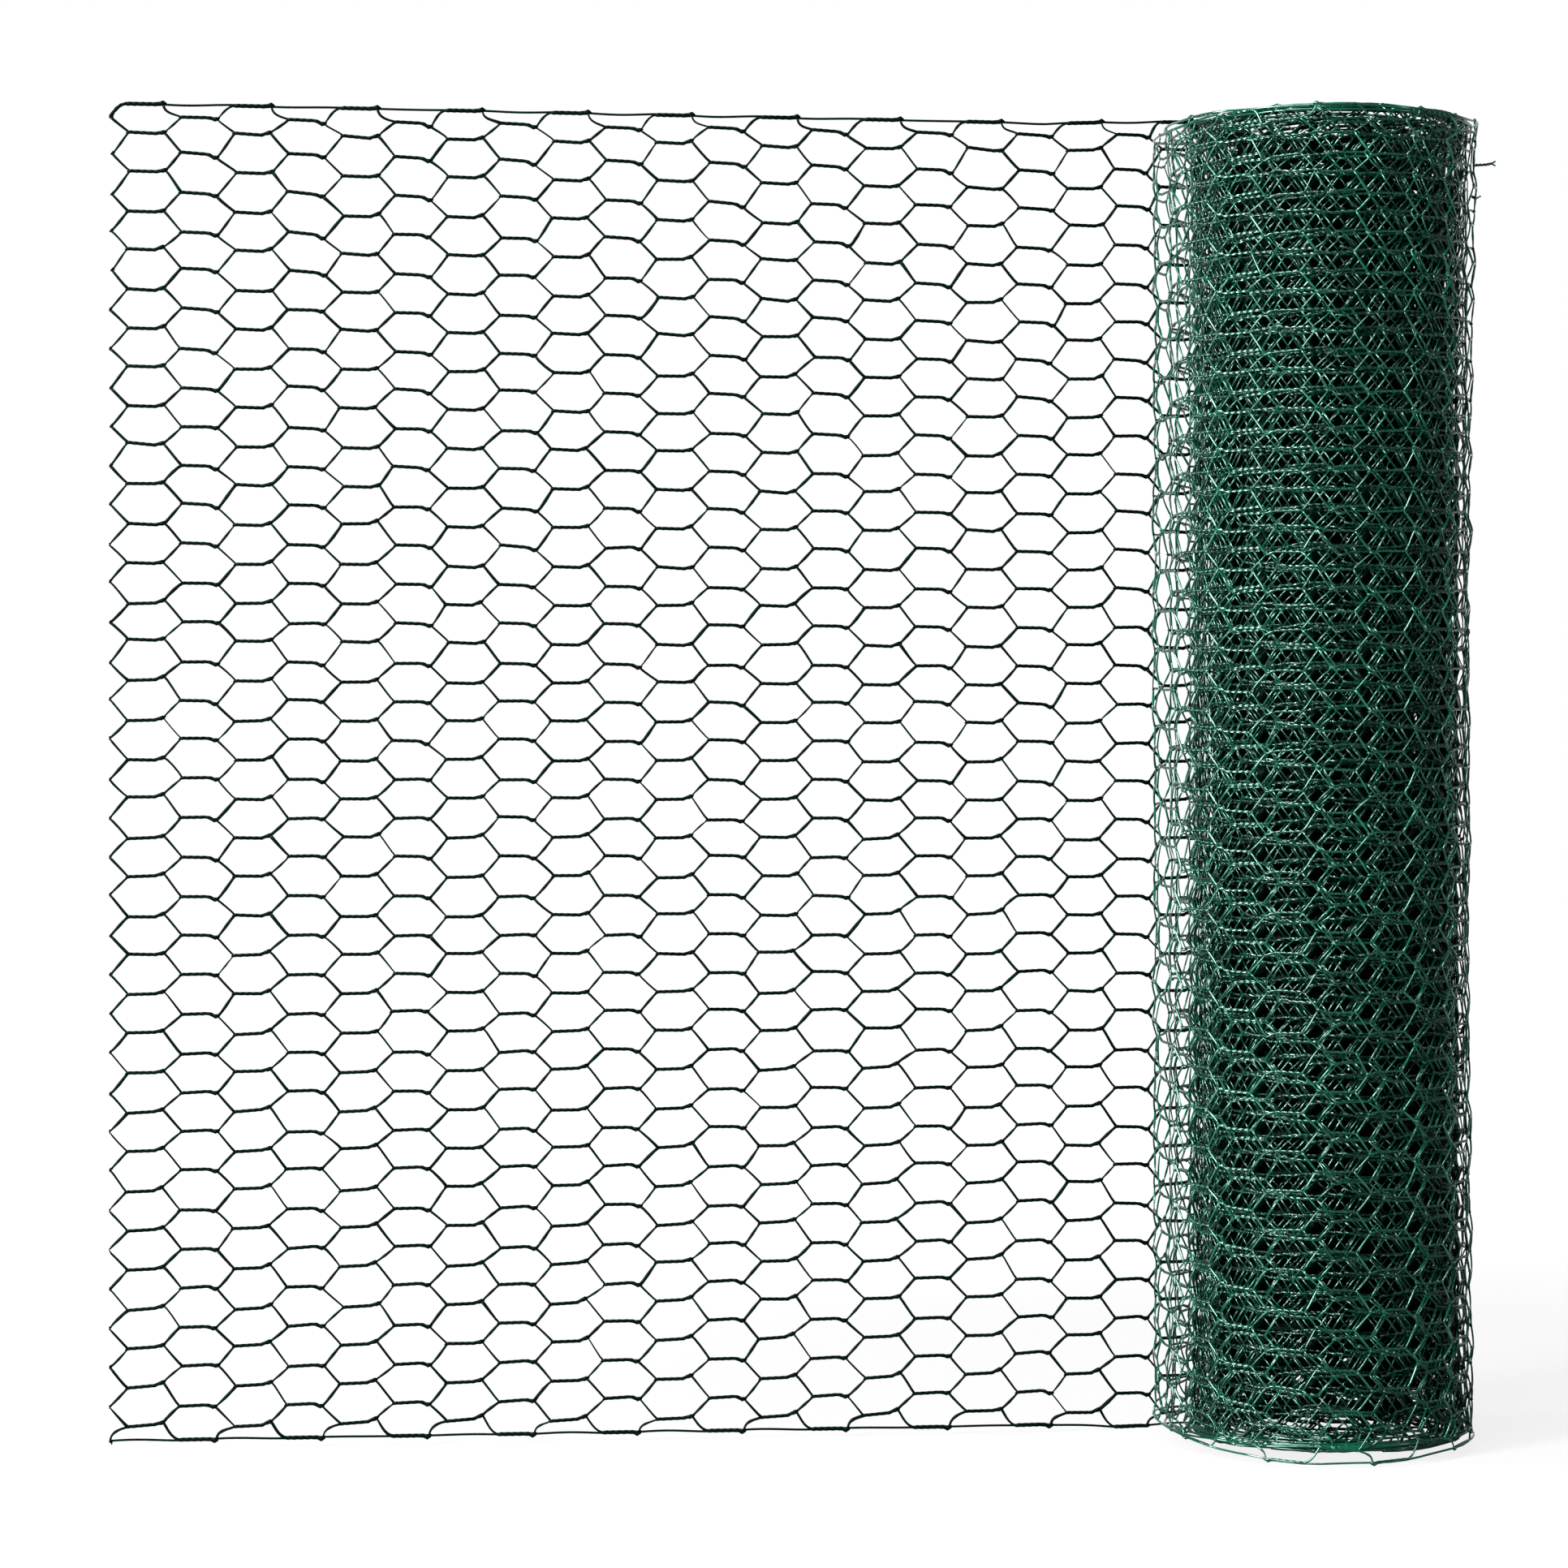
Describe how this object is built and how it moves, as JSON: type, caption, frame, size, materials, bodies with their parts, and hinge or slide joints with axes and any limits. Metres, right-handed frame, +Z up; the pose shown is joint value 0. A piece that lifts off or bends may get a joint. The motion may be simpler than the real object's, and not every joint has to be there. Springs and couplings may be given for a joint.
{
  "type": "roll of hexagonal wire netting",
  "caption": "Standing roll of coated hexagonal wire netting with an open bore and an outer stretch unrolled beside it.",
  "frame": {"origin": "on the roll's axis, at the level of the lower end that it stands on", "axes": "+Z up along the roll's axis, -X along the unrolled stretch towards its free end, -Y towards the side that the unrolled stretch leans to"},
  "size_m": [0.5136, 0.121, 0.5],
  "materials": {
    "netting_roll": "glossy PVC coat on galvanised wire",
    "netting_sheet": "glossy PVC coat on galvanised wire",
    "edge_wire": "glossy PVC coat on galvanised wire"
  },
  "bodies": {
    "root": {"roll": "netting_roll", "bend": "netting_sheet", "sheet_inner": "netting_sheet", "sheet_outer": "netting_sheet", "top_edge": "edge_wire", "bottom_edge": "edge_wire"}
  },
  "joints": []
}
